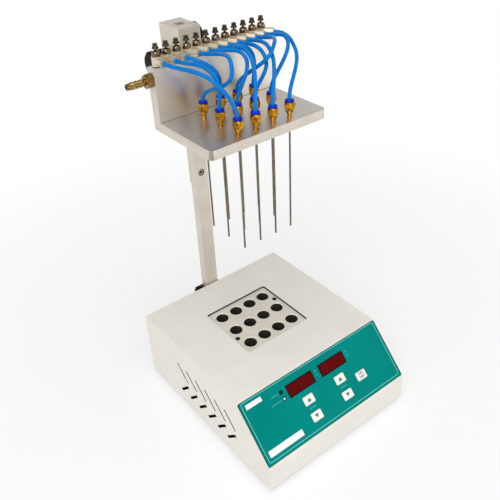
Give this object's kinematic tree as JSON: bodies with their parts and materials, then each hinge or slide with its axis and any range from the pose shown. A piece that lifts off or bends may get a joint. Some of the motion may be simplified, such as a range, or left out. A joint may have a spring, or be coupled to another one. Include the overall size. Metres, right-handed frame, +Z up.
{
  "type": "nitrogen sample evaporator",
  "caption": "Heated block with sample wells under a height-adjustable needle head fed by gas valves and hoses, raised on a mast by rack and pinion.",
  "frame": {"origin": "on the bench, under the centre of the overall bounding box", "axes": "+Z up; the control panel faces -Y, the mast stands at +Y; +X is to the right of someone facing the panel"},
  "size_m": [0.21, 0.2859, 0.4383],
  "materials": {
    "ivory_paint": "satin powder coat",
    "zinc_sheet": "zinc plated",
    "foot_rubber": "matte",
    "teal_film": "printed polyester film",
    "display_window": "polished",
    "lamp_lens": "clear moulded",
    "key_plastic": "fine moulded",
    "circuit_board": "solder mask",
    "transformer_iron": "varnished laminations",
    "block_aluminium": "bead blasted",
    "raw_aluminium": "ground",
    "heater_steel": "drawn tube",
    "mineral_fibre": "pressed fibre board",
    "black_plastic": "moulded",
    "mast_aluminium": "anodised",
    "rack_steel": "milled",
    "plate_aluminium": "brushed",
    "fastener_steel": "nickel plated",
    "plain_brass": "turned",
    "valve_plastic": "moulded",
    "valve_nickel": "nickel plated brass",
    "seal_rubber": "matte",
    "collar_blue": "moulded",
    "needle_steel": "drawn",
    "hose_polyurethane": "extruded"
  },
  "bodies": {
    "stand": {"base_plate": "zinc_sheet", "rubber_feet": "foot_rubber", "top_cover": "ivory_paint", "left_panel": "ivory_paint", "right_panel": "ivory_paint", "case_screws": "fastener_steel", "control_overlay": "teal_film", "display_modules": "display_window", "indicator_lamps": "lamp_lens", "key_board": "circuit_board", "control_board": "circuit_board", "power_transformer": "transformer_iron", "hot_plate": "raw_aluminium", "heater_cartridges": "heater_steel", "temperature_probe": "heater_steel", "insulation_frame": "mineral_fibre", "power_inlet": "black_plastic", "switch_housing": "black_plastic", "mast_socket": "black_plastic", "mast": "mast_aluminium", "rack": "rack_steel", "rack_screws": "fastener_steel"},
    "block": {"heating_block": "block_aluminium"},
    "head": {"carriage": "mast_aluminium", "head_arm": "plate_aluminium", "carriage_screws": "fastener_steel", "manifold_plate": "plate_aluminium", "needle_plate": "plate_aluminium", "plate_screws": "fastener_steel", "gas_inlet": "plain_brass", "valve_bodies": "valve_plastic", "banjo_bolts": "valve_nickel", "valve_seals": "seal_rubber", "port_collars": "collar_blue", "needle_fittings": "plain_brass", "fitting_collars": "collar_blue", "needles": "needle_steel", "hoses": "hose_polyurethane"},
    "pinion": {"pinion_shaft": "rack_steel", "lift_knob": "black_plastic"},
    "lock": {"lock_knob": "black_plastic"},
    "mast_clamp": {"mast_clamp_knob": "black_plastic"},
    "rocker": {"power_rocker": "black_plastic"},
    "temperature_up": {"temperature_up_key": "key_plastic"},
    "temperature_down": {"temperature_down_key": "key_plastic"},
    "time_up": {"time_up_key": "key_plastic"},
    "time_down": {"time_down_key": "key_plastic"},
    "start": {"start_key": "key_plastic"},
    "valve_01": {"valve_screw_01": "valve_nickel"},
    "valve_02": {"valve_screw_02": "valve_nickel"},
    "valve_03": {"valve_screw_03": "valve_nickel"},
    "valve_04": {"valve_screw_04": "valve_nickel"},
    "valve_05": {"valve_screw_05": "valve_nickel"},
    "valve_06": {"valve_screw_06": "valve_nickel"},
    "valve_07": {"valve_screw_07": "valve_nickel"},
    "valve_08": {"valve_screw_08": "valve_nickel"},
    "valve_09": {"valve_screw_09": "valve_nickel"},
    "valve_10": {"valve_screw_10": "valve_nickel"},
    "valve_11": {"valve_screw_11": "valve_nickel"},
    "valve_12": {"valve_screw_12": "valve_nickel"}
  },
  "joints": [
    {"name": "head_lift", "type": "slide", "parent": "stand", "child": "head", "axis": [0, 0, 1], "range_m": [-0.12, 0.01]},
    {"name": "lift_knob_turn", "type": "hinge", "parent": "head", "child": "pinion", "pos_m": [0, 0.129, 0.3936], "axis": [1, 0, 0], "range_deg": [-1150, 100]},
    {"name": "lock_knob_turn", "type": "hinge", "parent": "head", "child": "lock", "pos_m": [0, 0.1202, 0.4156], "axis": [1, 0, 0], "range_deg": [0, 360]},
    {"name": "mast_clamp_turn", "type": "hinge", "parent": "stand", "child": "mast_clamp", "pos_m": [0, 0.111, 0.082], "axis": [-1, 0, 0], "range_deg": [0, 360]},
    {"name": "block_lift", "type": "slide", "parent": "stand", "child": "block", "axis": [0, 0, 1], "range_m": [0, 0.06]},
    {"name": "power_rocker_tilt", "type": "hinge", "parent": "stand", "child": "rocker", "pos_m": [0.056, 0.0999, 0.041], "axis": [1, 0, 0], "range_deg": [0, 20]},
    {"name": "temperature_up_press", "type": "slide", "parent": "stand", "child": "temperature_up", "axis": [0, -0.7179, 0.6962], "range_m": [-0.0006, 0], "stiffness_N_per_m": 1000, "springref_m": 0.0002},
    {"name": "temperature_down_press", "type": "slide", "parent": "stand", "child": "temperature_down", "axis": [0, -0.7179, 0.6962], "range_m": [-0.0006, 0], "stiffness_N_per_m": 1000, "springref_m": 0.0002},
    {"name": "time_up_press", "type": "slide", "parent": "stand", "child": "time_up", "axis": [0, -0.7179, 0.6962], "range_m": [-0.0006, 0], "stiffness_N_per_m": 1000, "springref_m": 0.0002},
    {"name": "time_down_press", "type": "slide", "parent": "stand", "child": "time_down", "axis": [0, -0.7179, 0.6962], "range_m": [-0.0006, 0], "stiffness_N_per_m": 1000, "springref_m": 0.0002},
    {"name": "start_press", "type": "slide", "parent": "stand", "child": "start", "axis": [0, -0.7179, 0.6962], "range_m": [-0.0006, 0], "stiffness_N_per_m": 1000, "springref_m": 0.0002},
    {"name": "valve_01_turn", "type": "hinge", "parent": "head", "child": "valve_01", "pos_m": [-0.06435, 0.061, 0.4262], "axis": [0, 0, 1], "range_deg": [0, 720]},
    {"name": "valve_02_turn", "type": "hinge", "parent": "head", "child": "valve_02", "pos_m": [-0.05265, 0.061, 0.4262], "axis": [0, 0, 1], "range_deg": [0, 720]},
    {"name": "valve_03_turn", "type": "hinge", "parent": "head", "child": "valve_03", "pos_m": [-0.04095, 0.061, 0.4262], "axis": [0, 0, 1], "range_deg": [0, 720]},
    {"name": "valve_04_turn", "type": "hinge", "parent": "head", "child": "valve_04", "pos_m": [-0.02925, 0.061, 0.4262], "axis": [0, 0, 1], "range_deg": [0, 720]},
    {"name": "valve_05_turn", "type": "hinge", "parent": "head", "child": "valve_05", "pos_m": [-0.01755, 0.061, 0.4262], "axis": [0, 0, 1], "range_deg": [0, 720]},
    {"name": "valve_06_turn", "type": "hinge", "parent": "head", "child": "valve_06", "pos_m": [-0.00585, 0.061, 0.4262], "axis": [0, 0, 1], "range_deg": [0, 720]},
    {"name": "valve_07_turn", "type": "hinge", "parent": "head", "child": "valve_07", "pos_m": [0.00585, 0.061, 0.4262], "axis": [0, 0, 1], "range_deg": [0, 720]},
    {"name": "valve_08_turn", "type": "hinge", "parent": "head", "child": "valve_08", "pos_m": [0.01755, 0.061, 0.4262], "axis": [0, 0, 1], "range_deg": [0, 720]},
    {"name": "valve_09_turn", "type": "hinge", "parent": "head", "child": "valve_09", "pos_m": [0.02925, 0.061, 0.4262], "axis": [0, 0, 1], "range_deg": [0, 720]},
    {"name": "valve_10_turn", "type": "hinge", "parent": "head", "child": "valve_10", "pos_m": [0.04095, 0.061, 0.4262], "axis": [0, 0, 1], "range_deg": [0, 720]},
    {"name": "valve_11_turn", "type": "hinge", "parent": "head", "child": "valve_11", "pos_m": [0.05265, 0.061, 0.4262], "axis": [0, 0, 1], "range_deg": [0, 720]},
    {"name": "valve_12_turn", "type": "hinge", "parent": "head", "child": "valve_12", "pos_m": [0.06435, 0.061, 0.4262], "axis": [0, 0, 1], "range_deg": [0, 720]}
  ],
  "couplings": [
    {"joint": "lift_knob_turn", "follows": "head_lift", "rad_per_m": 166.67}
  ]
}
